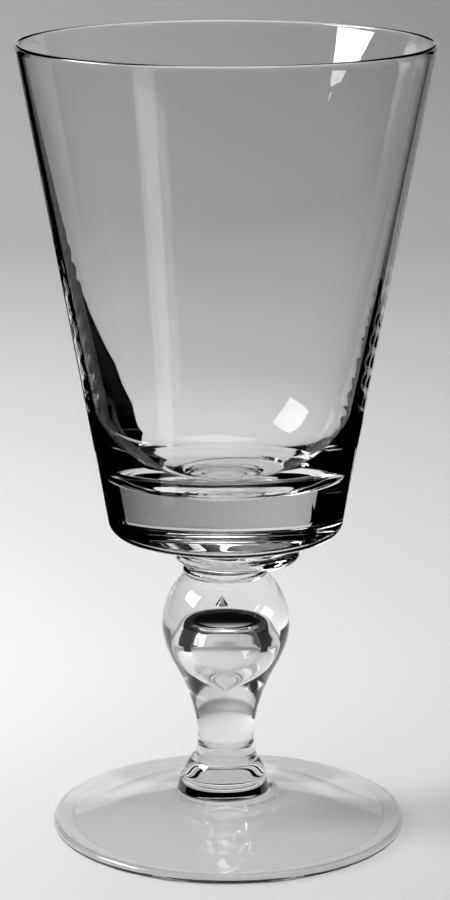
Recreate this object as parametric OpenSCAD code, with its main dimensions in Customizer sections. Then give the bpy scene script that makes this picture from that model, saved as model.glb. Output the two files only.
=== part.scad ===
// Water goblet in clear hand-worked glass.
// A tapering bowl with a thick solid base stands on a button, a neck ring, a ball knop with air
// trapped inside it, a waisted stem, a flared pad, a collar and a wide domed foot.
// The pieces are stacked on the vertical axis, each on the flat face of the one below it.
// The glass stands on z = 0 and every size is in millimetres.

/* [Bowl] */
// Outside diameter of the rim
rim_d = 92; // [88:0.5:100]
// Height of the bowl, from its underside to its rim
bowl_h = 110.8; // [100:0.2:125]
// Diameter that the outside taper comes down to at the underside
bowl_base_d = 51.8; // [48:0.2:56]
// Size of the rounding between the outside wall and the underside
base_round = 2.4; // [1.6:0.1:3.6]
// How far the underside sinks from its rounded edge to the button
base_sink = 0.7; // [0.2:0.1:1.2]
// Wall thickness at the rim
rim_t = 1.1; // [0.8:0.1:1.6]
// Wall thickness where the wall runs into the inner curve
wall_t = 2.3; // [1.8:0.1:3.4]
// Thickness of the solid base under the inside of the bowl
base_t = 13.8; // [11:0.2:18]
// Height of the curve between the inside wall and the floor
inner_curve_h = 17; // [13:0.5:24]
// Diameter of the flat middle of the floor
floor_d = 32; // [24:0.5:36]

/* [Button under the bowl] */
// Diameter of the button where it meets the bowl
button_top_d = 31.2; // [29.6:0.2:34]
// Diameter that the button's cone narrows to inside its disc
button_cone_d = 24.4; // [22:0.2:26]
// Height of the button, from its flat underside to the bowl
button_h = 5.9; // [5:0.1:7.5]
// Diameter of the pressed disc at the button's lower end
disc_d = 28.2; // [26.4:0.2:29.4]
// Thickness of the disc
disc_t = 2.9; // [2.2:0.1:3.6]
// Rounding of the disc's edge
disc_round = 1.1; // [0.6:0.1:1.1]
// How far the disc was pressed off the axis by hand
disc_shift = 2.5; // [0:0.1:2.6]
// Diameter of the throat at its top, inside the disc
throat_d = 20.6; // [19.6:0.2:21.4]
// Height of the throat under the disc
throat_h = 1.6; // [1:0.1:2.4]

/* [Neck ring] */
// Height of the ring between the throat and the ball
ring_h = 1.8; // [1.2:0.1:3]
// Diameter of the ring at its two ends
ring_end_d = 18.6; // [17.6:0.1:19.4]
// How far the ring swells between its ends
ring_swell = 0.45; // [0.2:0.05:0.8]

/* [Ball knop] */
// Diameter of the ball
knop_d = 29; // [27:0.2:32]
// Height from the ball's widest line up to the neck ring
knop_up_h = 12.1; // [10:0.1:13.5]
// Depth from the ball's widest line down to the stem
knop_down_h = 9.1; // [8:0.1:10.5]
// Diameter of the joint between the ball and the stem
knop_end_d = 23.4; // [21:0.2:24.6]
// How fast the outline widens at that joint, as radius gained by height
joint_slope = 0.55; // [0.4:0.01:0.7]

/* [Air in the ball knop] */
// Diameter of the flat part of the drop-shaped bubble's top
bubble_flat_d = 9.8; // [8:0.2:11]
// Diameter at which its flat top and its flank would meet
bubble_edge_d = 13.2; // [12:0.2:13.6]
// Diameter at the lower end of its flank
bubble_flank_d = 15.2; // [14.8:0.2:16]
// Height from the lower end of its flank up to its flat top
bubble_shoulder = 3; // [2.4:0.1:3.6]
// Diameter at which its flank and its tail would meet
bubble_belly_d = 18.4; // [17:0.2:19.6]
// Height of its top over the ball's widest line
bubble_top = 0.8; // [-0.6:0.1:1.6]
// How far its pointed tail reaches down into the stem
bubble_tail = 4.4; // [2:0.2:6]
// Diameter of the small pointed seed above the bubble
seed_d = 2; // [1.2:0.1:3]
// Height of the seed
seed_h = 1.6; // [1:0.1:2.6]
// Height of the seed's base over the bubble's flat top
seed_rise = 2.6; // [2:0.1:4]
// Sideways distance of the seed from the axis
seed_shift = 0.6; // [0:0.1:1.5]

/* [Stem] */
// Height of the stem, from the pad to the ball
stem_h = 22.9; // [19:0.1:32]
// Diameter at its narrowest
waist_d = 12.8; // [10.5:0.1:13.8]
// Height of the narrowest line over the pad
waist_rise = 5.1; // [4:0.1:7]
// Diameter at the stem's lower end
stem_end_d = 14.8; // [14:0.1:15.2]

/* [Stem pad] */
// Height of the pad that the stem is set on
pad_h = 4.4; // [3.4:0.1:6]
// How far the pad's top stands out past the stem's end
pad_lip = 0.3; // [0.1:0.05:0.6]
// Diameter of the pad at its base
pad_base_d = 19.2; // [18:0.1:20]
// How far the pad was set off the axis by hand
pad_shift = 0.3; // [0:0.1:0.5]

/* [Foot collar] */
// Height of the collar
collar_h = 3.4; // [2.6:0.1:4.6]
// How far the collar's top stands out past the pad
collar_lip = 0.2; // [0.1:0.05:0.6]
// How far the collar's side leans out from its top to its base
collar_flare = 0.8; // [0.4:0.1:1.4]
// Rounding of the collar's lower edge
collar_round = 0.6; // [0.3:0.1:0.9]
// How far the collar was set off the axis by hand
collar_shift = 0.6; // [0:0.1:0.8]

/* [Foot] */
// Diameter of the foot
foot_d = 80.8; // [74:0.2:92]
// Height of the foot at its seat for the collar
foot_h = 8; // [7:0.1:10]
// Thickness of the foot's edge
foot_edge_t = 2.5; // [2:0.1:3.2]
// How far the top dips below a straight line between seat and edge
foot_dip = 0.7; // [0:0.1:1.2]
// How far the foot's flat seat reaches past the collar
seat_lip = 0.2; // [0.1:0.05:0.6]
// Width of the flat ring that the foot stands on
foot_ring_w = 3.4; // [2.4:0.1:4.4]
// Height of the hollow under the middle of the foot
foot_hollow = 5.4; // [3:0.1:5.8]
// Diameter at which the hollow's level middle and its slope would meet
hollow_turn_d = 22; // [12:0.5:30]
// How far the foot was set off the axis by hand
foot_shift = 0.6; // [0:0.1:1]

/* [Hidden] */
// Steps along one rounded stretch of an outline
steps = 10;
// Steps along a long curve, such as the ball or the stem
long_steps = 20;
$fn = 128;

// Heights of the joints between the pieces, from the table up
collar_z = foot_h;
pad_z = collar_z + collar_h;
stem_z = pad_z + pad_h;
waist_z = stem_z + waist_rise;
knop_z = stem_z + stem_h;
ball_z = knop_z + knop_down_h;
ring_z = ball_z + knop_up_h;
throat_z = ring_z + ring_h;
button_z = throat_z + throat_h;
bowl_z = button_z + button_h;
rim_z = bowl_z + bowl_h;
floor_z = bowl_z + base_t;

// Fullness of a curve between two tangents: a quarter circle has 0.707, a parabola has 1, and
// more hugs the corner
round_full_share = 0.707;
parabola_full_share = 1;
inner_full_share = 0.8;
shoulder_full_share = 1.6;
pad_full_share = 0.5;

// The upper half of the ball is an ellipse that ends at the neck ring's own diameter
ball_r = knop_d / 2;
knop_end_r = knop_end_d / 2;
ball_up_r = knop_up_h / sqrt(1 - pow(ring_end_d / knop_d, 2));

// The stem leaves the ball at the joint's slope, which eases to nothing at the waist
waist_r = waist_d / 2;
stem_end_r = stem_end_d / 2;
stem_rise = knop_z - waist_z;
stem_power = joint_slope * stem_rise / (knop_end_r - waist_r);
flare_power = 1.8;

// The pad, the collar and the foot's seat each stand out past the piece above
pad_r = pad_base_d / 2;
collar_top_r = pad_r + collar_lip;
collar_r = collar_top_r + collar_flare;
seat_r = collar_r - collar_round + collar_shift + foot_shift + seat_lip;

// Outside of the bowl
rim_r = rim_d / 2;
base_r = bowl_base_d / 2;
bowl_taper = (rim_r - base_r) / bowl_h;
button_top_r = button_top_d / 2;
edge_z = bowl_z + base_sink;

// Inside of the bowl: the wall thickens evenly from the rim down to the curve
curve_z = floor_z + inner_curve_h;
inner_top_r = rim_r - rim_t;
inner_curve_r = base_r + bowl_taper * (curve_z - bowl_z) - wall_t;
inner_taper = (inner_top_r - inner_curve_r) / (rim_z - curve_z);
inner_corner_r = inner_curve_r - inner_taper * inner_curve_h;

// Points of a curve that leaves a towards the corner and arrives at b from it
function curve(a, corner, b, full = round_full_share, n = steps) = [
    for (i = [0 : n])
        let (
            t = i / n,
            wa = (1 - t) * (1 - t),
            wc = 2 * t * (1 - t) * full,
            wb = t * t
        )
        (wa * a + wc * corner + wb * b) / (wa + wc + wb)
];

// The outline that a piece of glass is turned from, closed down the axis
module turned(outline, shift = 0) {
    translate([shift, 0, 0]) rotate_extrude() polygon(outline);
}

// The empty inside of the bowl, open at the rim
function inside() = concat(
    [[0, floor_z]],
    curve(
        [floor_d / 2, floor_z], [inner_corner_r, floor_z],
        [inner_curve_r, curve_z], inner_full_share, long_steps
    ),
    [[inner_top_r, rim_z - rim_t / 2]]
);

// The rim is a half round as wide as the wall
function rim_round() = [
    for (i = [1 : steps - 1])
        let (a = 180 * i / steps)
        [rim_r - rim_t / 2 - rim_t / 2 * cos(a), rim_z - rim_t / 2 + rim_t / 2 * sin(a)]
];

module bowl() {
    color([0.9, 0.92, 0.92, 0.35])
    turned(concat(
        inside(),
        rim_round(),
        [[rim_r, rim_z - rim_t / 2]],
        curve(
            [base_r + bowl_taper * (base_round + base_sink), edge_z + base_round],
            [base_r + bowl_taper * base_sink, edge_z],
            [base_r - base_round, edge_z - base_sink * base_round / (base_r - button_top_r)]
        ),
        [[button_top_r, bowl_z], [0, bowl_z]]
    ));
}

// A cone of glass under the bowl that narrows to the throat over the neck ring. A disc was
// pressed out of it above the throat, and sits off centre.
module bowl_button() {
    disc_r = disc_d / 2;
    disc_z = button_z + disc_t;
    color([0.86, 0.9, 0.92, 0.35]) {
        turned([
            [0, bowl_z], [button_top_r, bowl_z], [button_cone_d / 2, button_z + disc_t / 2],
            [throat_d / 2, button_z + disc_round], [ring_end_d / 2, throat_z], [0, throat_z]
        ]);
        turned(concat(
            [[0, disc_z]],
            curve([disc_r - disc_round, disc_z], [disc_r, disc_z], [disc_r, disc_z - disc_round]),
            curve([disc_r, button_z + disc_round], [disc_r, button_z], [disc_r - disc_round, button_z]),
            [[0, button_z]]
        ), disc_shift);
    }
}

// A short ring with rounded sides
module neck_ring() {
    end_r = ring_end_d / 2;
    color([0.9, 0.9, 0.94, 0.35])
    turned(concat(
        [[0, ring_z]],
        curve(
            [end_r, ring_z],
            [end_r + 2 * ring_swell, ring_z + ring_h / 2],
            [end_r, throat_z], parabola_full_share
        ),
        [[0, throat_z]]
    ));
}

// Outline of the ball, up from its joint with the stem to its joint with the neck ring
function ball_outline() = let (up_angle = asin(knop_up_h / ball_up_r)) concat(
    curve(
        [knop_end_r, knop_z],
        [ball_r, knop_z + (ball_r - knop_end_r) / joint_slope],
        [ball_r, ball_z], parabola_full_share, long_steps
    ),
    [
        for (i = [1 : long_steps])
            let (a = up_angle * i / long_steps)
            [ball_r * cos(a), ball_z + ball_up_r * sin(a)]
    ]
);

// A drop of air with a flat top, a round shoulder, a sloping flank and a pointed tail. It was
// trapped where the ball was set on the stem, so its tail lies in the stem.
module bubble() {
    top = ball_z + bubble_top;
    edge = [bubble_edge_d / 2, top];
    flank = [bubble_flank_d / 2, top - bubble_shoulder];
    flank_slope = bubble_shoulder / (flank[0] - edge[0]);
    belly_r = bubble_belly_d / 2;
    belly = [belly_r, top - flank_slope * (belly_r - edge[0])];
    turned(concat(
        [[0, top]],
        curve([bubble_flat_d / 2, top], edge, flank, shoulder_full_share),
        curve(flank, belly, [0, knop_z - bubble_tail], parabola_full_share, long_steps)
    ));
}

// A tiny pointed seed of air above the drop
module seed() {
    seat = ball_z + bubble_top + seed_rise;
    turned([[0, seat], [seed_d / 2, seat], [0, seat + seed_h]], -seed_shift);
}

module ball_knop() {
    color([0.82, 0.88, 0.94, 0.35])
    difference() {
        turned(concat([[0, knop_z]], ball_outline(), [[0, ring_z]]));
        bubble();
        seed();
    }
}

// Outline of the stem: one power curve up from the waist to the ball, one down to the pad
function stem_outline() = concat(
    [
        for (i = [0 : steps - 1])
            let (t = 1 - i / steps)
            [waist_r + (stem_end_r - waist_r) * pow(t, flare_power), waist_z - waist_rise * t]
    ],
    [
        for (i = [0 : long_steps])
            let (t = i / long_steps)
            [waist_r + (knop_end_r - waist_r) * pow(t, stem_power), waist_z + stem_rise * t]
    ]
);

module stem() {
    color([0.88, 0.92, 0.9, 0.35])
    difference() {
        turned(concat([[0, stem_z]], stem_outline(), [[0, knop_z]]));
        bubble();
    }
}

// A flared pad with slightly bulging sides
module stem_pad() {
    top_r = stem_end_r + pad_lip;
    color([0.92, 0.9, 0.86, 0.35])
    turned(concat(
        [[0, pad_z]],
        curve([pad_r, pad_z], [pad_r, pad_z + pad_h / 2], [top_r, stem_z], pad_full_share),
        [[0, stem_z]]
    ), -pad_shift);
}

// A low ring with sloping sides and a rounded lower edge
module foot_collar() {
    color([0.84, 0.88, 0.86, 0.35])
    turned(concat(
        [[0, collar_z]],
        curve(
            [collar_r - collar_round, collar_z],
            [collar_r, collar_z],
            [collar_r, collar_z + collar_round]
        ),
        [[collar_top_r, pad_z], [0, pad_z]]
    ), -collar_shift);
}

// A wide disc that falls away from the seat to a round edge. It was blown as a thin dome, so it
// is hollow underneath and stands on a flat ring.
module foot() {
    foot_r = foot_d / 2;
    edge_r = foot_edge_t / 2;
    rest_r = foot_r - edge_r;
    top_mid = [(seat_r + rest_r) / 2, (foot_h + foot_edge_t) / 2 - foot_dip];
    hollow_r = rest_r - foot_ring_w;
    color([0.9, 0.93, 0.95, 0.35])
    turned(concat(
        curve(
            [0, foot_hollow], [hollow_turn_d / 2, foot_hollow],
            [hollow_r, 0], parabola_full_share, long_steps
        ),
        [
            for (i = [0 : steps])
                let (a = 180 * i / steps - 90)
                [rest_r + edge_r * cos(a), edge_r + edge_r * sin(a)]
        ],
        curve(
            [rest_r, foot_edge_t], top_mid,
            [seat_r, foot_h], parabola_full_share, long_steps
        ),
        [[0, foot_h]]
    ), foot_shift);
}

bowl();
bowl_button();
neck_ring();
ball_knop();
stem();
stem_pad();
foot_collar();
foot();
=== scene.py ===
# %% [markdown]
# # A hand-worked water goblet in clear glass
# The goblet is a stack of glass pieces that were joined hot: a tapering bowl with a thick base,
# a button, a neck ring, a ball with air trapped in it, a waisted stem, a pad, a collar and a
# wide foot. Clear glass has almost no colour of its own. What we see in it is its surroundings,
# bent by its curves, so this lesson takes as much care over the room as over the glass.

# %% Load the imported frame
import math

import bpy
import numpy as np
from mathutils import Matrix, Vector


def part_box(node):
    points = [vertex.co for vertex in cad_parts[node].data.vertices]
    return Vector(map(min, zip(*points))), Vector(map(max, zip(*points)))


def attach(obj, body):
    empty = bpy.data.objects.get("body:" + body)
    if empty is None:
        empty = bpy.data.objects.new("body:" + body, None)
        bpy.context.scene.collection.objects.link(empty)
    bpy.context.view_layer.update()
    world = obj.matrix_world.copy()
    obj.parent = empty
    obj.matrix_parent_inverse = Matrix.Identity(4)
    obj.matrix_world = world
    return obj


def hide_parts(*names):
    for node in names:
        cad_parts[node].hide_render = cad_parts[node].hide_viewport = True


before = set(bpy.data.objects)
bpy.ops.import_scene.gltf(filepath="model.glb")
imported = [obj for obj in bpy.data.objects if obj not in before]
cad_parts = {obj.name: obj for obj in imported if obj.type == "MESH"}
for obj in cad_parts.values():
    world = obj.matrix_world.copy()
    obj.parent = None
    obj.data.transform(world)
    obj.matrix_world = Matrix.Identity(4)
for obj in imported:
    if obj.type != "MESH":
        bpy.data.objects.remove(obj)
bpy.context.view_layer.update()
MM = 0.001

# %% [markdown]
# ## The camera
# A long lens stands two thirds of a metre in front of the glass and looks down on it by about
# fourteen degrees. The long side of the upright picture is the sensor's 36 mm, and the tiny shift
# sets the stem a hair right of the middle.

# %% Camera
CAMERA_BACK = 0.668
CAMERA_HEIGHT = 0.2533
CAMERA_PITCH = math.radians(13.862)
LENS_MM = 122.47
SENSOR_MM = 36.0
CAMERA_SHIFT = -0.0009

camera_data = bpy.data.cameras.new("camera")
camera_data.lens = LENS_MM
camera_data.sensor_width = SENSOR_MM
camera_data.shift_x = CAMERA_SHIFT
camera = bpy.data.objects.new("camera", camera_data)
camera.location = (0.0, -CAMERA_BACK, CAMERA_HEIGHT)
camera.rotation_euler = (math.pi / 2 - CAMERA_PITCH, 0.0, 0.0)
bpy.context.scene.collection.objects.link(camera)
bpy.context.scene.camera = camera
print("camera at", tuple(round(v, 4) for v in camera.location))

# %% [markdown]
# ## Turned surfaces
# Every piece is turned, so each is one outline of (radius, height) points in millimetres, spun
# round the axis. A ring of the outline may have its own centre, because a glassmaker never sets
# two pieces quite true. The outline runs from the axis, round the outside and back to the axis,
# so that its faces point outwards and both poles are closed. A Screw modifier could spin it too,
# but it can't move a ring off the axis.

# %% Outline and lathe helpers
ROUND_FULL = 0.707
BEND_STEPS = 24
SEGMENTS = 256


def bend(a, corner, b, full=ROUND_FULL, n=BEND_STEPS):
    """n + 1 points from a to b, pulled to the corner. With t from 0 to 1, each point is the mean
    of a, corner and b weighted by (1-t) squared, 2 t (1-t) full, and t squared."""
    t = np.linspace(0.0, 1.0, n + 1)[:, None]
    wa, wc, wb = (1 - t) ** 2, 2 * t * (1 - t) * full, t**2
    return (wa * np.array(a) + wc * np.array(corner) + wb * np.array(b)) / (wa + wc + wb)


def line(a, b, n=1):
    """n + 1 evenly spaced points from a to b."""
    t = np.linspace(0.0, 1.0, n + 1)[:, None]
    return (1 - t) * np.array(a) + t * np.array(b)


def stretch(points, centre=0.0, joint=False):
    """Rows of (radius, height, centre, joint) for the lathe. joint marks the band that follows
    each point as a face that is fused to the next piece."""
    points = np.atleast_2d(np.array(points, float))
    extra = np.tile([centre, float(joint)], (len(points), 1))
    return np.hstack([points, extra])


def lathe(outline, segments=SEGMENTS, sway=None):
    """Vertices and faces of an outline spun round the vertical axis. Point j of ring i lies at
    (centre_i + r_i cos a_j, r_i sin a_j, z_i) with a_j = 2 pi j / segments. sway(x, y, z) returns
    small moves that are added to the points. The first and last rows are the poles."""
    _, z, centre, joint = outline.T
    a = np.linspace(0.0, 2 * math.pi, segments, endpoint=False)
    rings = outline[1:-1]
    x = rings[:, 2:3] + rings[:, 0:1] * np.cos(a)
    y = rings[:, 0:1] * np.sin(a)
    zz = np.repeat(rings[:, 1:2], segments, axis=1)
    if sway is not None:
        dx, dy, dz = sway(x, y, zz)
        x, y, zz = x + dx, y + dy, zz + dz
    points = np.stack([x, y, zz], -1).reshape(-1, 3)
    poles = np.array([[centre[0], 0.0, z[0]], [centre[-1], 0.0, z[-1]]])
    first, last = len(points), len(points) + 1
    i, j = np.meshgrid(np.arange(len(rings) - 1), np.arange(segments), indexing="ij")
    k = (j + 1) % segments
    quads = np.stack(
        [i * segments + j, i * segments + k, (i + 1) * segments + k, (i + 1) * segments + j], -1
    ).reshape(-1, 4)
    j = np.arange(segments)
    k = (j + 1) % segments
    top = (len(rings) - 1) * segments
    low_fan = np.stack([np.full(segments, first), k, j], -1)
    high_fan = np.stack([np.full(segments, last), top + j, top + k], -1)
    quad_joint = np.repeat(joint[1:-2], segments)
    fan_joint = [np.full(segments, joint[0]), np.full(segments, joint[-2])]
    return np.vstack([points, poles]), quads, np.vstack([low_fan, high_fan]), quad_joint, fan_joint


print("lathe ready:", SEGMENTS, "segments to a turn")

# %% [markdown]
# ## From arrays to a mesh
# The arrays go straight into the mesh, which is far quicker than adding its points one by one.
# Faces marked as joints get the second material slot. The shading is smooth but for edges sharper
# than the crease angle, where one piece's rounding ends.

# %% Mesh builder
CREASE = math.radians(32)


def make_mesh(name, parts):
    """One mesh object at the origin from the lathe's output for each of its closed surfaces."""
    points, loops, sizes, marks = [], [], [], []
    start = 0
    for verts, quads, tris, quad_joint, fan_joint in parts:
        points.append(verts)
        loops += [(quads + start).ravel(), (tris + start).ravel()]
        sizes += [np.full(len(quads), 4), np.full(len(tris), 3)]
        marks += [quad_joint, *fan_joint]
        start += len(verts)
    points, loops = np.vstack(points) * MM, np.concatenate(loops)
    sizes, marks = np.concatenate(sizes), np.concatenate(marks)
    mesh = bpy.data.meshes.new(name)
    mesh.vertices.add(len(points))
    mesh.vertices.foreach_set("co", points.astype(np.float32).ravel())
    mesh.loops.add(len(loops))
    mesh.loops.foreach_set("vertex_index", loops.astype(np.int32))
    mesh.polygons.add(len(sizes))
    starts = np.concatenate([[0], np.cumsum(sizes)[:-1]])
    mesh.polygons.foreach_set("loop_start", starts.astype(np.int32))
    mesh.polygons.foreach_set("material_index", marks.astype(np.int32))
    mesh.update(calc_edges=True)
    mesh.validate()
    mesh.shade_smooth()
    mesh.set_sharp_from_angle(angle=CREASE)
    piece = bpy.data.objects.new(name, mesh)
    bpy.context.scene.collection.objects.link(piece)
    return piece


print("mesh builder ready: edges over", round(math.degrees(CREASE)), "degrees stay sharp")

# %% [markdown]
# ## Waviness, shared by every glass
# Hand-worked glass is never optically flat, and a faint waviness bends its reflections. It could
# be a displacement of the mesh, but at a hundredth of a millimetre a bump shows it as well with
# far fewer faces. Every glass here uses it, so it is a node group with named sockets. It puts out
# only a height, because shaders stay in the material itself.

# %% Shader helpers and the waviness group
WAVE_SCALE = 30.0
FINE_SHARE = 0.2
FINE_TIMES = 4.0
SLOW_DETAIL, FINE_DETAIL = 1.0, 2.0


def add_node(tree, kind, **settings):
    """A node of that kind, with plain properties or socket values set by name."""
    node = tree.nodes.new(kind)
    for key, value in settings.items():
        if hasattr(node, key):
            setattr(node, key, value)
        else:
            node.inputs[key.replace("_", " ")].default_value = value
    return node


def mix_shaders(tree, factor, first, second):
    """The output of a Mix Shader: the first shader where factor is 0, the second where it is 1."""
    mix = tree.nodes.new("ShaderNodeMixShader")
    for socket, source in zip(mix.inputs, (factor, first, second)):
        tree.links.new(source, socket)
    return mix.outputs[0]


def make_wave_group():
    """Group "hand_waviness": the height is a slow noise and a finer one, mixed by Fine Share, for
    a Bump node."""
    group = bpy.data.node_groups.new("hand_waviness", "ShaderNodeTree")
    for label, value in (("Scale", WAVE_SCALE), ("Fine Share", FINE_SHARE)):
        socket = group.interface.new_socket(label, in_out="INPUT", socket_type="NodeSocketFloat")
        socket.default_value = value
    group.interface.new_socket("Height", in_out="OUTPUT", socket_type="NodeSocketFloat")
    enter = group.nodes.new("NodeGroupInput")
    leave = group.nodes.new("NodeGroupOutput")
    place = group.nodes.new("ShaderNodeTexCoord")
    slow = add_node(group, "ShaderNodeTexNoise", Detail=SLOW_DETAIL)
    fine = add_node(group, "ShaderNodeTexNoise", Detail=FINE_DETAIL)
    faster = add_node(group, "ShaderNodeMath", operation="MULTIPLY")
    faster.inputs[1].default_value = FINE_TIMES
    both = add_node(group, "ShaderNodeMix", data_type="FLOAT")
    for source, socket in (
        (place.outputs["Object"], slow.inputs["Vector"]),
        (place.outputs["Object"], fine.inputs["Vector"]),
        (enter.outputs["Scale"], slow.inputs["Scale"]),
        (enter.outputs["Scale"], faster.inputs[0]),
        (faster.outputs[0], fine.inputs["Scale"]),
        (enter.outputs["Fine Share"], both.inputs["Factor"]),
        (slow.outputs["Fac"], both.inputs["A"]),
        (fine.outputs["Fac"], both.inputs["B"]),
        (both.outputs["Result"], leave.inputs["Height"]),
    ):
        group.links.new(source, socket)
    return group


WAVES = make_wave_group()
print("shader group:", WAVES.name, [item.name for item in WAVES.interface.items_tree])

# %% [markdown]
# ## The glass
# One Principled glass with a plain transmission of 1 makes the body of every piece. Its base
# colour is a grey just under white, for the little light that thick glass swallows. Lamps can't
# shine through a refracting surface without a great deal of noise, so a Light Path switch lets
# rays from lamps and from the floor straight through. They are dimmed by a shade, which sets how
# dark the goblet's shadow is. The stem's solid glass casts a darker one than the bowl's wall.

# %% Glass materials
GLASS_IOR = 1.52
WAVE_STRENGTH = 0.5
WAVE_DEPTH = 0.00002
BOWL_WAVES, STEM_WAVES, FOOT_WAVES = 25.0, 60.0, 30.0
BOWL_SHADE, STEM_SHADE, FOOT_SHADE = 0.91, 0.78, 0.93
BOWL_TONE, STEM_TONE, FOOT_TONE = 0.95, 0.9, 1.0


def glass_material(name, wave_scale, shade, tone):
    """Clear glass of that grey tone: smooth refraction, bumped by the waviness. Shadow rays and
    diffuse rays pass it in a straight line and keep the share given by shade."""
    material = bpy.data.materials.new(name)
    material.use_nodes = True
    tree = material.node_tree
    tree.nodes.clear()
    out = tree.nodes.new("ShaderNodeOutputMaterial")
    glass = add_node(
        tree, "ShaderNodeBsdfPrincipled", IOR=GLASS_IOR, Roughness=0.0, Transmission_Weight=1.0
    )
    glass.inputs["Base Color"].default_value = (tone, tone, tone, 1.0)
    waves = add_node(tree, "ShaderNodeGroup")
    waves.node_tree = WAVES
    waves.inputs["Scale"].default_value = wave_scale
    bump = add_node(tree, "ShaderNodeBump", Strength=WAVE_STRENGTH, Distance=WAVE_DEPTH)
    tree.links.new(waves.outputs["Height"], bump.inputs["Height"])
    tree.links.new(bump.outputs["Normal"], glass.inputs["Normal"])
    straight = add_node(tree, "ShaderNodeBsdfTransparent", Color=(shade, shade, shade, 1.0))
    paths = tree.nodes.new("ShaderNodeLightPath")
    to_floor = mix_shaders(tree, paths.outputs["Is Diffuse Ray"], glass.outputs[0], straight.outputs[0])
    to_lamps = mix_shaders(tree, paths.outputs["Is Shadow Ray"], to_floor, straight.outputs[0])
    tree.links.new(to_lamps, out.inputs["Surface"])
    return material


BOWL_GLASS = glass_material("clear_bowl_glass", BOWL_WAVES, BOWL_SHADE, BOWL_TONE)
STEM_GLASS = glass_material("clear_stem_glass", STEM_WAVES, STEM_SHADE, STEM_TONE)
FOOT_GLASS = glass_material("clear_foot_glass", FOOT_WAVES, FOOT_SHADE, FOOT_TONE)
print("glass:", BOWL_GLASS.name, STEM_GLASS.name, FOOT_GLASS.name)

# %% [markdown]
# ## Fused faces
# Where two pieces were joined hot, glass meets glass and there is no surface to see. Each piece
# stays a closed solid of its own, so the two faces of a joint are still there, and their material
# lets everything through.

# %% Joint material
def joint_material():
    """A Principled shader with an alpha of 0."""
    material = bpy.data.materials.new("fused_joint")
    material.use_nodes = True
    shader = material.node_tree.nodes["Principled BSDF"]
    shader.inputs["Alpha"].default_value = 0.0
    return material


FUSED = joint_material()
print("joint material:", FUSED.name)

# %% [markdown]
# ## Handing a piece over
# Each dressed piece rides on the goblet's one body and takes the place of its imported solid. It wears
# its glass material, with the joint material in a second slot.

# %% Finishing a piece
def finish_piece(piece, node, material):
    """Materials, body, node and slot for one piece of glass."""
    piece.data.materials.append(material)
    piece.data.materials.append(FUSED)
    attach(piece, "root")
    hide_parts(node)
    triangles = sum(len(p.vertices) - 2 for p in piece.data.polygons)
    print(piece.name, triangles, "triangles")


print("pieces go to", len(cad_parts), "nodes")

# %% [markdown]
# ## Where the pieces meet
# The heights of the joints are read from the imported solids, so that each dressed piece sits
# exactly where its solid does. Typed numbers would do as well, until someone changes a solid.

# %% Heights of the joints
def span(node):
    """Lowest and highest height of a CAD node, in millimetres."""
    low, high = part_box(node)
    return low.z / MM, high.z / MM


bowl_z, rim_z = span("bowl")
throat_z, _ = span("bowl_button")
ring_z, _ = span("neck_ring")
knop_z, _ = span("ball_knop")
stem_z, _ = span("stem")
pad_z, _ = span("stem_pad")
collar_z, _ = span("foot_collar")
joint_heights = (collar_z, pad_z, stem_z, knop_z, ring_z, throat_z, bowl_z)
print("joints at", [round(v, 2) for v in joint_heights], "mm, rim at", round(rim_z, 2), "mm")

# %% [markdown]
# ## The bowl
# On the real glass the bowl is a thin tapering wall over a thick solid base, which glassmakers
# call a sham. A cone with a Solidify modifier would give a wall that is even all the way down, so
# the outside and the inside are drawn in one outline instead. The wall grows thicker towards the
# base and runs into the floor in a wide curve.

# %% Sizes of the bowl
RIM_T = 1.1
WALL_T = 2.3
BASE_T = 13.8
INNER_CURVE_H = 17.0
INNER_FULL = 0.8
FLOOR_R = 16.0
CAVITY_SHIFT = -0.5
BOWL_BASE_R = 25.9
BASE_ROUND = 2.4
BASE_SINK = 0.7
BUTTON_TOP_R = 15.6

rim_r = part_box("bowl")[1].x / MM
bowl_taper = (rim_r - BOWL_BASE_R) / (rim_z - bowl_z)
floor_z = bowl_z + BASE_T
curve_z = floor_z + INNER_CURVE_H
inner_curve_r = BOWL_BASE_R + bowl_taper * (curve_z - bowl_z) - WALL_T
inner_taper = (rim_r - RIM_T - inner_curve_r) / (rim_z - curve_z)
inner_corner_r = inner_curve_r - inner_taper * INNER_CURVE_H
print("bowl: rim", round(2 * rim_r, 2), "mm across, floor at", round(floor_z, 2), "mm")

# %% [markdown]
# ## Tool marks inside the bowl
# The tool that shaped the hot bowl left shallow ripples inside its lower wall. They hardly show
# on the front, but at the left and right the eye looks along the wall, and they break its edge
# into sparks. A bump could fake them, but there they bend what is seen through the glass, so they
# are real moves of the lathe's points.

# %% Ripples
RIPPLE_STEP = 4.6
RIPPLE_DEPTH = 0.26
RIPPLE_SPAN = 0.14
RIPPLE_RIGHT = 0.5
RIPPLE_TURN = 6.0
RIPPLE_START, RIPPLE_RISE = 4.0, 8.0
RIPPLE_PEAK, RIPPLE_FADE = 6.0, 34.0
RIPPLE_CLEAR = 1.0


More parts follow.
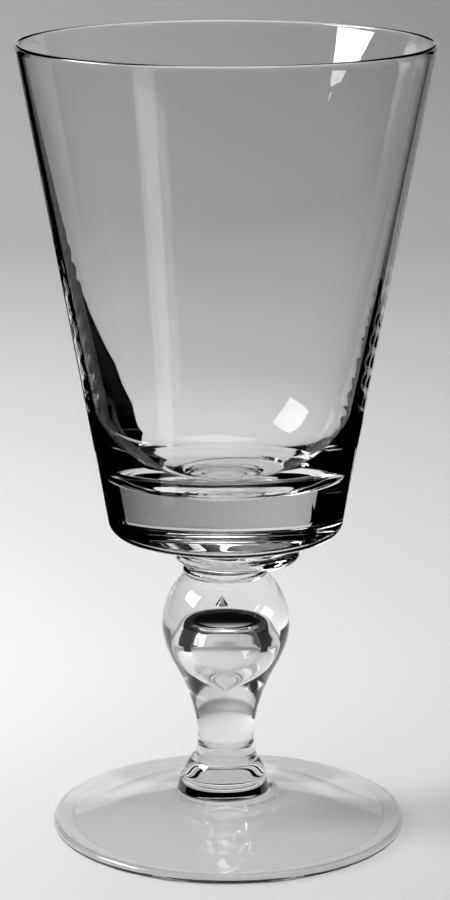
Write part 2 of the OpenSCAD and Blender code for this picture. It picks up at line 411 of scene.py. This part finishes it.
def bowl_ripples(x, y, z):
    """Moves along the radius: a sine of the height on the inner wall only. It is strongest at the
    left, half as strong at the right, and falls off with the angle from there as a bell curve. It
    rises above the floor and fades up the wall. The phase drifts with the angle, since the tool
    spiralled."""
    r = np.hypot(x, y)
    outer_r = BOWL_BASE_R + bowl_taper * (z - bowl_z)
    inside = (outer_r - r > RIM_T / 2) & (z > floor_z + RIPPLE_CLEAR)
    rise = np.clip((z - floor_z - RIPPLE_START) / RIPPLE_RISE, 0.0, 1.0)
    fade = np.clip(1.0 - (z - curve_z - RIPPLE_PEAK) / RIPPLE_FADE, 0.0, 1.0)
    angle = np.arctan2(y, x)
    off_left = (np.mod(angle, 2 * math.pi) - math.pi) / RIPPLE_SPAN
    off_right = (np.mod(angle + math.pi, 2 * math.pi) - math.pi) / RIPPLE_SPAN
    reach = np.exp(-off_left**2) + RIPPLE_RIGHT * np.exp(-off_right**2)
    wave = np.sin(2 * math.pi * z / RIPPLE_STEP + RIPPLE_TURN * angle)
    move = RIPPLE_DEPTH * inside * rise * fade * reach * wave
    return move * x / np.maximum(r, 1.0), move * y / np.maximum(r, 1.0), 0.0 * z


print("ripples:", RIPPLE_DEPTH, "mm deep, one to", RIPPLE_STEP, "mm")

# %% [markdown]
# ## Turning the bowl
# The cavity isn't quite true to the outside: it leans until it is half a millimetre off the axis
# at the floor, as happens when a bowl is opened by hand. The lathe takes a centre for each ring,
# so the lean needs no second object.

# %% The bowl
UNDER_STEPS, CORNER_STEPS, WALL_STEPS, RIM_STEPS = 12, 20, 90, 16
CAVITY_STEPS, CURVE_STEPS, FLOOR_STEPS = 120, 60, 10


def lean(points):
    """Rows for the lathe whose centre moves sideways in proportion to the depth below the rim."""
    rows = stretch(points)
    rows[:, 2] = CAVITY_SHIFT * (rim_z - rows[:, 1]) / (rim_z - floor_z)
    return rows


def bowl_outline():
    """Underside, outer wall, half-round rim, inner wall, curve and floor."""
    edge_z = bowl_z + BASE_SINK
    under_slope = BASE_SINK / (BOWL_BASE_R - BUTTON_TOP_R)
    low_edge = (BOWL_BASE_R - BASE_ROUND, edge_z - under_slope * BASE_ROUND)
    corner = (BOWL_BASE_R + bowl_taper * BASE_SINK, edge_z)
    high_edge = (BOWL_BASE_R + bowl_taper * (BASE_ROUND + BASE_SINK), edge_z + BASE_ROUND)
    half = RIM_T / 2
    a = np.linspace(0.0, math.pi, RIM_STEPS + 1)[1:-1]
    rim = np.stack([rim_r - half + half * np.cos(a), rim_z - half + half * np.sin(a)], -1)
    curve_end = (inner_curve_r, curve_z)
    floor_edge = (FLOOR_R, floor_z)
    return np.vstack([
        stretch([(0.0, bowl_z)], joint=True),
        stretch(line((BUTTON_TOP_R, bowl_z), low_edge, UNDER_STEPS)[:-1]),
        stretch(bend(low_edge, corner, high_edge, n=CORNER_STEPS)[:-1]),
        stretch(line(high_edge, (rim_r, rim_z - half), WALL_STEPS)),
        stretch(rim),
        lean(line((rim_r - RIM_T, rim_z - half), curve_end, CAVITY_STEPS)[:-1]),
        lean(bend(curve_end, (inner_corner_r, floor_z), floor_edge, INNER_FULL, CURVE_STEPS)),
        lean(line(floor_edge, (0.0, floor_z), FLOOR_STEPS)[1:]),
    ])


bowl = make_mesh("goblet_bowl", [lathe(bowl_outline(), sway=bowl_ripples)])
finish_piece(bowl, "bowl", BOWL_GLASS)

# %% [markdown]
# ## The button under the bowl
# A button of hot glass carries the bowl. It narrows from the bowl to a disc that the tool pressed
# out to one side, and ends in a short throat. Three turned shapes could be joined by a boolean,
# but rings that may each have their own centre make the crooked disc in one closed surface.

# %% The button
DISC_R = 14.1
DISC_T = 2.9
DISC_ROUND = 1.1
DISC_SHIFT = 2.5
THROAT_R = 10.3
THROAT_H = 1.6
RING_END_R = 9.3
THROAT_STEPS, DISC_STEPS = 4, 10


def button_outline():
    """Throat, the disc's two rounded edges, and the seat of the bowl."""
    disc_z = throat_z + THROAT_H
    disc_top_z = disc_z + DISC_T
    flat_r = DISC_R - DISC_ROUND
    low_end, high_end = (DISC_R, disc_z + DISC_ROUND), (DISC_R, disc_top_z - DISC_ROUND)
    low_round = bend((flat_r, disc_z), (DISC_R, disc_z), low_end, n=DISC_STEPS)
    high_round = bend(high_end, (DISC_R, disc_top_z), (flat_r, disc_top_z), n=DISC_STEPS)
    return np.vstack([
        stretch([(0.0, throat_z)], joint=True),
        stretch(line((RING_END_R, throat_z), (THROAT_R, disc_z), THROAT_STEPS)),
        stretch(low_round, DISC_SHIFT),
        stretch(high_round, DISC_SHIFT),
        stretch([(BUTTON_TOP_R, bowl_z)], joint=True),
        stretch([(0.0, bowl_z)]),
    ])


button = make_mesh("goblet_button", [lathe(button_outline())])
finish_piece(button, "bowl_button", STEM_GLASS)

# %% [markdown]
# ## The neck ring
# A thin ring of glass was left between the throat and the ball. Its side swells by less than half
# a millimetre, and the two creases beside it catch the light. One bend draws it.

# %% The neck ring
RING_SWELL = 0.45
RING_STEPS = 16


def ring_outline():
    """A flat end, the swollen side and the other flat end."""
    widest = (RING_END_R + 2 * RING_SWELL, (ring_z + throat_z) / 2)
    side = bend((RING_END_R, ring_z), widest, (RING_END_R, throat_z), 1.0, RING_STEPS)
    return np.vstack([
        stretch([(0.0, ring_z)], joint=True),
        stretch(side[:-1]),
        stretch(side[-1:], joint=True),
        stretch([(0.0, throat_z)]),
    ])


ring = make_mesh("goblet_neck_ring", [lathe(ring_outline())])
finish_piece(ring, "neck_ring", STEM_GLASS)

# %% [markdown]
# ## The trapped air
# The ball holds a drop-shaped bubble and, above it, a tiny pointed seed. Air inside glass is a
# surface like any other: its faces point out of the glass, into the air. The drop was trapped
# where the ball was set on the stem, so its pointed tail lies in the stem. A boolean could cut it
# out, but the uneven faces that it leaves would show in the refraction.

# %% Outlines of the bubble and the seed
BALL_UP_H = 12.1
BUBBLE_FLAT_R = 4.9
BUBBLE_EDGE_R = 6.6
BUBBLE_FLANK_R = 7.6
BUBBLE_SHOULDER = 3.0
SHOULDER_FULL = 1.6
BUBBLE_BELLY_R = 9.2
BUBBLE_TOP = 0.8
BUBBLE_TAIL = 4.4
SEED_R = 1.0
SEED_H = 1.6
SEED_RISE = 2.6
SEED_SHIFT = -0.6
FLAT_STEPS, SHOULDER_STEPS, BELLY_STEPS, SEED_STEPS = 12, 24, 80, 8

ball_z = ring_z - BALL_UP_H
bubble_z = ball_z + BUBBLE_TOP


def bubble_points():
    """The drop of air from its flat top down to its pointed tail: a level line, a bend over the
    shoulder to the flank's lower end, and a bend over the belly to the point. The points come in
    two arrays that share the one at the joint between ball and stem."""
    flat_end = (BUBBLE_FLAT_R, bubble_z)
    flank = (BUBBLE_FLANK_R, bubble_z - BUBBLE_SHOULDER)
    slope = BUBBLE_SHOULDER / (BUBBLE_FLANK_R - BUBBLE_EDGE_R)
    belly = (BUBBLE_BELLY_R, bubble_z - slope * (BUBBLE_BELLY_R - BUBBLE_EDGE_R))
    points = np.vstack([
        line((0.0, bubble_z), flat_end, FLAT_STEPS)[:-1],
        bend(flat_end, (BUBBLE_EDGE_R, bubble_z), flank, SHOULDER_FULL, SHOULDER_STEPS),
        bend(flank, belly, (0.0, knop_z - BUBBLE_TAIL), 1.0, BELLY_STEPS)[1:],
    ])
    r, z = points.T
    joint = (np.interp(-knop_z, -z, r), knop_z)
    return np.vstack([points[z > knop_z], joint]), np.vstack([joint, points[z < knop_z]])


def seed_outline():
    """The pointed seed above the drop, from its point down."""
    base = bubble_z + SEED_RISE
    return np.vstack([
        stretch(line((0.0, base + SEED_H), (SEED_R, base), SEED_STEPS), SEED_SHIFT),
        stretch([(0.0, base)], SEED_SHIFT),
    ])


air_in_ball, air_in_stem = bubble_points()
print("bubble:", round(2 * air_in_ball[-1, 0], 2), "mm across at the joint")

# %% [markdown]
# ## The ball
# The ball's skin is an ellipse above its widest line. Below it a bend runs down to the joint with
# the stem and has the stem's slope there, so that the two read as one pull of glass. The outline
# starts inside, at the top of the drop, and goes round the glass to the ball's own top.

# %% The ball
BALL_END_R = 11.7
JOINT_SLOPE = 0.55
BALL_UP_STEPS, BALL_LOW_STEPS = 60, 50
SEED_SEGMENTS = 64

ball_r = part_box("ball_knop")[1].x / MM
ball_up_r = BALL_UP_H / math.sqrt(1 - (RING_END_R / ball_r) ** 2)


def ball_outline():
    """The upper part of the drop, the joint with the stem, a bend from the joint's slope to the
    widest line, then an ellipse."""
    a = np.linspace(0.0, math.asin(BALL_UP_H / ball_up_r), BALL_UP_STEPS + 1)[1:]
    upper = np.stack([ball_r * np.cos(a), ball_z + ball_up_r * np.sin(a)], -1)
    corner = (ball_r, knop_z + (ball_r - BALL_END_R) / JOINT_SLOPE)
    return np.vstack([
        stretch(air_in_ball[:-1]),
        stretch(air_in_ball[-1:], joint=True),
        stretch(bend((BALL_END_R, knop_z), corner, (ball_r, ball_z), 1.0, BALL_LOW_STEPS)),
        stretch(upper[:-1]),
        stretch(upper[-1:], joint=True),
        stretch([(0.0, ring_z)]),
    ])


ball = make_mesh("goblet_ball_knop", [lathe(ball_outline()), lathe(seed_outline(), SEED_SEGMENTS)])
finish_piece(ball, "ball_knop", STEM_GLASS)

# %% [markdown]
# ## The stem
# The stem was pulled while it was hot, so it has no straight stretch: it narrows to a waist just
# above the pad and flares both ways. Two power curves meet at the waist, where both are upright.
# The upper one's power is worked out so that it reaches the ball at the joint's slope.

# %% The stem
WAIST_R = 6.4
WAIST_RISE = 5.1
STEM_END_R = 7.4
FLARE_POWER = 1.8
FLARE_STEPS, PULL_STEPS = 24, 80


def stem_outline():
    """Flat end, flare down to the waist's radius, rise to the ball, joint, and the drop's tail."""
    waist_z = stem_z + WAIST_RISE
    pull_power = JOINT_SLOPE * (knop_z - waist_z) / (BALL_END_R - WAIST_R)
    down = np.linspace(1.0, 0.0, FLARE_STEPS + 1)[:-1]
    up = np.linspace(0.0, 1.0, PULL_STEPS + 1)
    flare_r = WAIST_R + (STEM_END_R - WAIST_R) * down**FLARE_POWER
    pull_r = WAIST_R + (BALL_END_R - WAIST_R) * up**pull_power
    flare = np.stack([flare_r, waist_z - WAIST_RISE * down], -1)
    pull = np.stack([pull_r, waist_z + (knop_z - waist_z) * up], -1)
    return np.vstack([
        stretch([(0.0, stem_z)], joint=True),
        stretch(flare),
        stretch(pull[:-1]),
        stretch(pull[-1:], joint=True),
        stretch(air_in_stem),
    ])


stem = make_mesh("goblet_stem", [lathe(stem_outline())])
finish_piece(stem, "stem", STEM_GLASS)

# %% [markdown]
# ## The pad
# The stem stands on a pad of glass that spreads downwards. It was set a hair to the left, so a
# narrow lip shows at that side of the stem and none at the other. One bend draws its side, and
# its own centre makes the lip, with no need for a second shape.

# %% The pad
PAD_R = 9.6
PAD_FULL = 0.5
PAD_LIP = 0.3
PAD_SHIFT = -0.3
PAD_STEPS = 30


def pad_outline():
    """Flat underside, flared side and the stem's seat."""
    top = (STEM_END_R + PAD_LIP, stem_z)
    side = bend((PAD_R, pad_z), (PAD_R, (pad_z + stem_z) / 2), top, PAD_FULL, PAD_STEPS)
    return np.vstack([
        stretch([(0.0, pad_z)], PAD_SHIFT, joint=True),
        stretch(side, PAD_SHIFT),
        stretch([(STEM_END_R, stem_z)], joint=True),
        stretch([(0.0, stem_z)]),
    ])


pad = make_mesh("goblet_stem_pad", [lathe(pad_outline())])
finish_piece(pad, "stem_pad", STEM_GLASS)

# %% [markdown]
# ## The collar
# Between pad and foot lies a low collar, a little further left again. Its side leans outwards and
# turns under in a small round, which is the step in the goblet's outline just over the foot. A
# cylinder with a Bevel modifier would come close, but its side wouldn't lean.

# %% The collar
COLLAR_LIP = 0.2
COLLAR_FLARE = 0.8
COLLAR_ROUND = 0.6
COLLAR_SHIFT = -0.6
COLLAR_STEPS, COLLAR_SIDE_STEPS = 10, 8

collar_top_r = PAD_R + COLLAR_LIP
collar_r = collar_top_r + COLLAR_FLARE
collar_rest_r = collar_r - COLLAR_ROUND


def collar_outline():
    """Flat underside, small round, leaning side and the pad's seat."""
    side_end = (collar_r, collar_z + COLLAR_ROUND)
    low_round = bend((collar_rest_r, collar_z), (collar_r, collar_z), side_end, n=COLLAR_STEPS)
    return np.vstack([
        stretch([(0.0, collar_z)], COLLAR_SHIFT, joint=True),
        stretch(low_round, COLLAR_SHIFT),
        stretch(line(side_end, (collar_top_r, pad_z), COLLAR_SIDE_STEPS)[1:], COLLAR_SHIFT),
        stretch([(PAD_R, pad_z)], PAD_SHIFT, joint=True),
        stretch([(0.0, pad_z)], PAD_SHIFT),
    ])


collar = make_mesh("goblet_foot_collar", [lathe(collar_outline())])
finish_piece(collar, "foot_collar", FOOT_GLASS)

# %% [markdown]
# ## The foot
# The foot is a wide low dome with a full round edge. It is hollow underneath, so that only a ring
# near the edge touches the table and it can't rock. Its top sags a little between the edge and
# the collar. A flattened sphere would be quicker, but it has neither the sag nor the ring.

# %% The foot
FOOT_SHIFT = 0.6
FOOT_EDGE_T = 2.5
FOOT_DIP = 0.7
FOOT_RING_W = 3.4
FOOT_HOLLOW = 5.4
HOLLOW_FLAT_R = 11.0
SEAT_LIP = 0.2
HOLLOW_STEPS, EDGE_STEPS, DOME_STEPS = 60, 24, 80

foot_low, foot_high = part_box("foot")
foot_r = (foot_high.x - foot_low.x) / 2 / MM
seat_r = collar_rest_r - COLLAR_SHIFT + FOOT_SHIFT + SEAT_LIP


def foot_outline():
    """The hollow, the ring it stands on, the round edge, the top and the seat."""
    edge_r = FOOT_EDGE_T / 2
    rest_r = foot_r - edge_r
    ring_end = (rest_r - FOOT_RING_W, 0.0)
    a = np.linspace(-math.pi / 2, math.pi / 2, EDGE_STEPS + 1)
    edge = np.stack([rest_r + edge_r * np.cos(a), edge_r + edge_r * np.sin(a)], -1)
    sag = ((seat_r + rest_r) / 2, (collar_z + FOOT_EDGE_T) / 2 - FOOT_DIP)
    hollow = bend((0.0, FOOT_HOLLOW), (HOLLOW_FLAT_R, FOOT_HOLLOW), ring_end, 1.0, HOLLOW_STEPS)
    dome = bend((rest_r, FOOT_EDGE_T), sag, (seat_r, collar_z), 1.0, DOME_STEPS)
    return np.vstack([
        stretch(hollow, FOOT_SHIFT),
        stretch(edge, FOOT_SHIFT),
        stretch(dome[1:], FOOT_SHIFT),
        stretch([(collar_rest_r, collar_z)], COLLAR_SHIFT, joint=True),
        stretch([(0.0, collar_z)], COLLAR_SHIFT),
    ])


foot = make_mesh("goblet_foot", [lathe(foot_outline())])
finish_piece(foot, "foot", FOOT_GLASS)

# %% [markdown]
# ## The table
# The goblet stands on white paper that runs back flat, turns up in a wide curve and ends as a low
# wall. Such a sweep has no corner behind the glass, so nothing draws a line through it.

# %% Shape of the sweep
TABLE_LEFT, TABLE_RIGHT = -1.4, 1.4
TABLE_FRONT = -1.6
WALL_Y = 1.1
WALL_TOP = 0.36
SWEEP_R = 0.35
SWEEP_STEPS = 24


def sweep_mesh():
    """A profile in y and z, drawn straight across from left to right: a level line, a quarter
    circle and an upright line."""
    a = np.linspace(0.0, math.pi / 2, SWEEP_STEPS + 1)
    turn_y = WALL_Y - SWEEP_R + SWEEP_R * np.sin(a)
    turn_z = SWEEP_R - SWEEP_R * np.cos(a)
    y = np.concatenate([[TABLE_FRONT], turn_y, [WALL_Y]])
    z = np.concatenate([[0.0], turn_z, [WALL_TOP]])
    left = np.stack([np.full_like(y, TABLE_LEFT), y, z], -1)
    right = np.stack([np.full_like(y, TABLE_RIGHT), y, z], -1)
    i = np.arange(len(y) - 1)
    faces = np.stack([i, i + len(y), i + len(y) + 1, i + 1], -1)
    mesh = bpy.data.meshes.new("table")
    mesh.from_pydata(np.vstack([left, right]).tolist(), [], faces.tolist())
    mesh.shade_smooth()
    return bpy.data.objects.new("table", mesh)


table = sweep_mesh()
bpy.context.scene.collection.objects.link(table)
print("table:", len(table.data.polygons), "faces")

# %% [markdown]
# ## The paper
# The paper's tone holds painted shade: it falls off to the back, most of all at the right, and a little
# to the front. The goblet bends the wall above the picture into its bowl, so the wall has a painted
# glow there, which lights nothing, and painted shade that fades it to dark at its top edge. Without
# that fade the hard edge shows as a line in the foot. Ramps on the paper's own coordinates paint all
# this light and shade, so few lamps are needed.

# %% Material of the paper
PAPER = 0.68
# Painted shade: the paper's tone is darker to the front and to the back, darkest at the back right.
PAPER_FRONT_SHADED = 0.56
FRONT_FULL, FRONT_FROM = -0.1, 0.15
PAPER_BACK_LEFT_SHADED, PAPER_BACK_RIGHT_SHADED = 0.48, 0.36
PAPER_BACK_FROM = 0.7
PAPER_SIDE = 0.13
# A painted glow on the wall, and painted shade that darkens the wall's top edge.
PAINTED_GLOW = 0.4
GLOW_FROM, GLOW_FULL = 0.1, 0.16
FADE_FROM, FADE_FULL = 0.28, 0.36
TOP_SHADE_TONE = 0.01


def ramp(tree, value, start, end, low=0.0, high=1.0, kind="SMOOTHSTEP"):
    """The output that goes from low to high as value goes from start to end."""
    node = add_node(
        tree, "ShaderNodeMapRange", interpolation_type=kind,
        From_Min=start, From_Max=end, To_Min=low, To_Max=high,
    )
    tree.links.new(value, node.inputs["Value"])
    return node.outputs["Result"]


def clear_from_behind(tree, front):
    """The output that shows the shader in front of the faces and nothing from behind them."""
    facing = tree.nodes.new("ShaderNodeNewGeometry")
    clear = tree.nodes.new("ShaderNodeBsdfTransparent")
    return mix_shaders(tree, facing.outputs["Backfacing"], front, clear.outputs[0])


def paper_material():
    """Diffuse paper whose tone mixes the front, middle and back tones by place, as painted shade. The
    wall's painted glow is added for all but diffuse rays, so that it lights nothing. The whole fades
    out up the wall into painted dark."""
    material = bpy.data.materials.new("paper")
    material.use_nodes = True
    tree = material.node_tree
    tree.nodes.clear()
    out = tree.nodes.new("ShaderNodeOutputMaterial")
    place = tree.nodes.new("ShaderNodeTexCoord")
    split = tree.nodes.new("ShaderNodeSeparateXYZ")
    tree.links.new(place.outputs["Object"], split.inputs[0])
    x, y, z = split.outputs
    # The front and back tones paint shade onto the paper.
    near = ramp(tree, y, FRONT_FULL, FRONT_FROM, PAPER_FRONT_SHADED, PAPER)
    far = ramp(tree, x, -PAPER_SIDE, PAPER_SIDE, PAPER_BACK_LEFT_SHADED, PAPER_BACK_RIGHT_SHADED, "LINEAR")
    tone = add_node(tree, "ShaderNodeMix", data_type="FLOAT")
    tree.links.new(ramp(tree, y, PAPER_BACK_FROM, WALL_Y), tone.inputs["Factor"])
    tree.links.new(near, tone.inputs["A"])
    tree.links.new(far, tone.inputs["B"])
    paper = tree.nodes.new("ShaderNodeBsdfDiffuse")
    tree.links.new(tone.outputs["Result"], paper.inputs["Color"])
    # The glow is painted light: the camera and the glass see it, and it lights nothing.
    glow = tree.nodes.new("ShaderNodeEmission")
    tree.links.new(ramp(tree, z, GLOW_FROM, GLOW_FULL, high=PAINTED_GLOW), glow.inputs["Strength"])
    both = tree.nodes.new("ShaderNodeAddShader")
    tree.links.new(paper.outputs[0], both.inputs[0])
    tree.links.new(glow.outputs[0], both.inputs[1])
    paths = tree.nodes.new("ShaderNodeLightPath")
    lit = mix_shaders(tree, paths.outputs["Is Diffuse Ray"], both.outputs[0], paper.outputs[0])
    # Painted shade: the wall fades to near black at its top edge.
    dark = add_node(tree, "ShaderNodeBsdfDiffuse", Color=(TOP_SHADE_TONE, TOP_SHADE_TONE, TOP_SHADE_TONE, 1.0))
    faded = mix_shaders(tree, ramp(tree, z, FADE_FROM, FADE_FULL), lit, dark.outputs[0])
    tree.links.new(clear_from_behind(tree, faded), out.inputs["Surface"])
    return material


table.data.materials.append(paper_material())
print("paper: tone", PAPER, "to", PAPER_FRONT_SHADED, "in front and", PAPER_BACK_RIGHT_SHADED, "at the back right")

# %% [markdown]
# ## Cards that only the glass sees
# Clear glass has an edge only where it shows something dark, so a photographer stands black cards
# round it, just out of the picture. Here only rays that come off or through the glass find them,
# and from their backs they are clear. They throw no shadow, and the paper gets neither light nor
# shade from them. So they can also stand where a real card would spoil the picture, and some do.
# They were placed by trial for the front camera alone and aren't a copy of a real set: from the
# side and from behind, the same cards make the bowl look dark.

# %% Card helpers
CARD_STEPS = 24


def glass_card(name, points, faces, light=0.0):
    """A card with these points and faces, black, or glowing with strength light as painted light that
    lights nothing, seen only by the glass.
    """
    mesh = bpy.data.meshes.new(name)
    mesh.from_pydata(points.tolist(), [], faces.tolist())
    material = bpy.data.materials.new(name)
    material.use_nodes = True
    tree = material.node_tree
    paint = add_node(tree, "ShaderNodeEmission", Strength=light)
    surface = clear_from_behind(tree, paint.outputs[0])
    tree.links.new(surface, tree.nodes["Material Output"].inputs["Surface"])
    mesh.materials.append(material)
    card = bpy.data.objects.new(name, mesh)
    card.visible_camera = False
    card.visible_diffuse = False
    card.visible_shadow = False
    bpy.context.scene.collection.objects.link(card)
    print("card:", name, len(mesh.polygons), "faces")


def card_strip(near, far, turn_from, turn_to, low, high):
    """Points and faces of a strip bent round the glass between two bearings in degrees, which
    count from straight back towards the right. Its lower edge lies at radius near and height
    low, its upper edge at radius far and height high."""
    a = np.radians(np.linspace(turn_from, turn_to, CARD_STEPS + 1))
    ring = np.stack([np.sin(a), np.cos(a)], -1)
    points = np.vstack([
        np.column_stack([near * ring, np.full(len(a), low)]),
        np.column_stack([far * ring, np.full(len(a), high)]),
    ])
    i = np.arange(len(a) - 1)
    return points, np.stack([i, i + len(a), i + len(a) + 1, i + 1], -1)[:, ::-1]


def card_shelf(left, right, height):
    """Points and faces of a level card between two edges, both given from front to back as
    (x, y)."""
    points = np.column_stack([np.vstack([left, right]), np.full(len(left) + len(right), height)])
    i = np.arange(len(left) - 1)
    return points, np.stack([i, i + len(left), i + len(left) + 1, i + 1], -1)


print("card helpers ready:", CARD_STEPS, "steps to a strip")

# %% [markdown]
# ## Upright cards
# Two curved walls of card stand nearly half a metre out and leave the way open behind the glass.
# The sides of the bowl look out at them. Two short strips, a hand's width from the axis, give the
# thick base its black ends.

# %% Side walls and strips
SIDE_R = 0.45
SIDE_TOP = 0.25
SIDE_TURNS = {"left": (-180.0, -48.0), "right": (50.0, 180.0)}
STRIP_R = 0.12
STRIP_LOW, STRIP_HIGH = 0.058, 0.09
STRIP_TURNS = {"left": (-80.0, -25.0), "right": (34.0, 80.0)}

for side, turns in SIDE_TURNS.items():
    glass_card("side_" + side, *card_strip(SIDE_R, SIDE_R, *turns, 0.0, SIDE_TOP))
for side, turns in STRIP_TURNS.items():
    glass_card("strip_" + side, *card_strip(STRIP_R, STRIP_R, *turns, STRIP_LOW, STRIP_HIGH))

# %% [markdown]
# ## Shelves at the height of the base
# Rays that leave the bowl near its edges run down and outwards. Level cards catch them and make
# the dark bands inside its outline. The inner edge of each shelf is set point by point
# from front to back, since it decides how wide the band is at each height. The near corner of the
# left one reaches a few millimetres into the glass of the base, which no real card could do. A
# narrow glowing strip just over the left shelf lights nothing and paints the highlights that are the
# tool marks' sparks.

# %% Shelves and spark
SHELF_Z = 0.085
SHELF_END = 0.7
SHELF_LEFT = [
    (-0.02, 0.01), (-0.024, 0.046), (-0.034, 0.097),
    (-0.044, 0.127), (-0.066, 0.185), (-0.2, 0.6),
]
SHELF_RIGHT = [
    (0.033, 0.01), (0.036, 0.036), (0.056, 0.053),
    (0.09, 0.11), (0.13, 0.185), (0.3, 0.6),
]
SPARK_EDGE = [(-0.048, 0.055), (-0.068, 0.1), (-0.082, 0.14)]
SPARK_WIDTH = 0.013
SPARK_Z = 0.086
# The spark strip glows though it is no lamp: its reflections in the ripples are painted highlights.
PAINTED_SPARK_GLOW = 1.0

far_left = [(-SHELF_END, y) for _, y in SHELF_LEFT]
far_right = [(SHELF_END, y) for _, y in SHELF_RIGHT]
spark_far = [(x - SPARK_WIDTH, y) for x, y in SPARK_EDGE]
glass_card("shelf_left", *card_shelf(far_left, SHELF_LEFT, SHELF_Z))
glass_card("shelf_right", *card_shelf(SHELF_RIGHT, far_right, SHELF_Z))
glass_card("spark", *card_shelf(spark_far, SPARK_EDGE, SPARK_Z), PAINTED_SPARK_GLOW)

# %% [markdown]
# ## Wings below the base
# The bowl's front wall mirrors the table before it. Level wings under the height of the base hide
# the table from it and from the base's underside, which turns black. The wings leave one narrow
# gap at the front left, and the pale table in it is the soft upright streak down the bowl. Near
# the stem the gap is closed, because there it would light the underside. The wings start 22 mm
# from the axis, over the foot, where a real card would have to be seen.

# %% Wings
WING_Z = 0.06
WING_NEAR, WING_MID, WING_FAR = 0.022, 0.06, 0.8
WING_TURNS = {"left": (-130.0, -31.0), "right": (38.0, 218.0)}
WING_GAP = (-142.0, -130.0)

for side, turns in WING_TURNS.items():
    glass_card("wing_" + side, *card_strip(WING_NEAR, WING_FAR, *turns, WING_Z, WING_Z))
glass_card("wing_gap", *card_strip(WING_NEAR, WING_MID, *WING_GAP, WING_Z, WING_Z))

# %% [markdown]
# ## Lamps
# A soft box at the left lights the paper, throws the goblet's shadow to the right, and is the
# white square that shows in the bowl and in the ball. A weak lamp overhead softens the shadow.
# The room beyond is almost black, so that the glass keeps its contrast.

# %% Lamps and room
KEY_WATTS, KEY_SIZE = 16.0, 0.45
KEY_PLACE, KEY_AIM = (-0.76, -0.07, 0.53), (0.0, 0.0, 0.05)
FILL_WATTS, FILL_SIZE = 6.0, 0.8
FILL_PLACE, FILL_AIM = (0.1, 0.2, 1.4), (0.0, 0.1, 0.0)
ROOM_TONE = 0.004


def area_lamp(name, place, target, size, watts):
    """A soft square of light at place that faces target."""
    data = bpy.data.lights.new(name, "AREA")
    data.shape = "SQUARE"
    data.size = size
    data.energy = watts
    lamp = bpy.data.objects.new(name, data)
    lamp.location = place
    lamp.rotation_euler = (Vector(target) - Vector(place)).to_track_quat("-Z", "Y").to_euler()
    bpy.context.scene.collection.objects.link(lamp)
    print("lamp:", name, watts, "W")


area_lamp("softbox_left", KEY_PLACE, KEY_AIM, KEY_SIZE, KEY_WATTS)
area_lamp("top_fill", FILL_PLACE, FILL_AIM, FILL_SIZE, FILL_WATTS)

world = bpy.data.worlds.new("room")
world.use_nodes = True
sky = world.node_tree.nodes["Background"]
sky.inputs["Color"].default_value = (ROOM_TONE, ROOM_TONE, ROOM_TONE, 1.0)
bpy.context.scene.world = world
print("room tone:", ROOM_TONE)

# %% [markdown]
# ## Settings that glass needs
# A ray crosses many surfaces on its way through bowl, ball and stem, and would end as a black
# patch if it stopped too soon. The Standard view keeps the paper as pale as its material says.

# %% Render settings that belong to the glass
BOUNCES = 24
CLEAR_BOUNCES = 32

scene = bpy.context.scene
scene.view_settings.view_transform = "Standard"
scene.cycles.max_bounces = BOUNCES
scene.cycles.transmission_bounces = BOUNCES
scene.cycles.transparent_max_bounces = CLEAR_BOUNCES
print("bounces:", BOUNCES, "and through clear faces", CLEAR_BOUNCES)
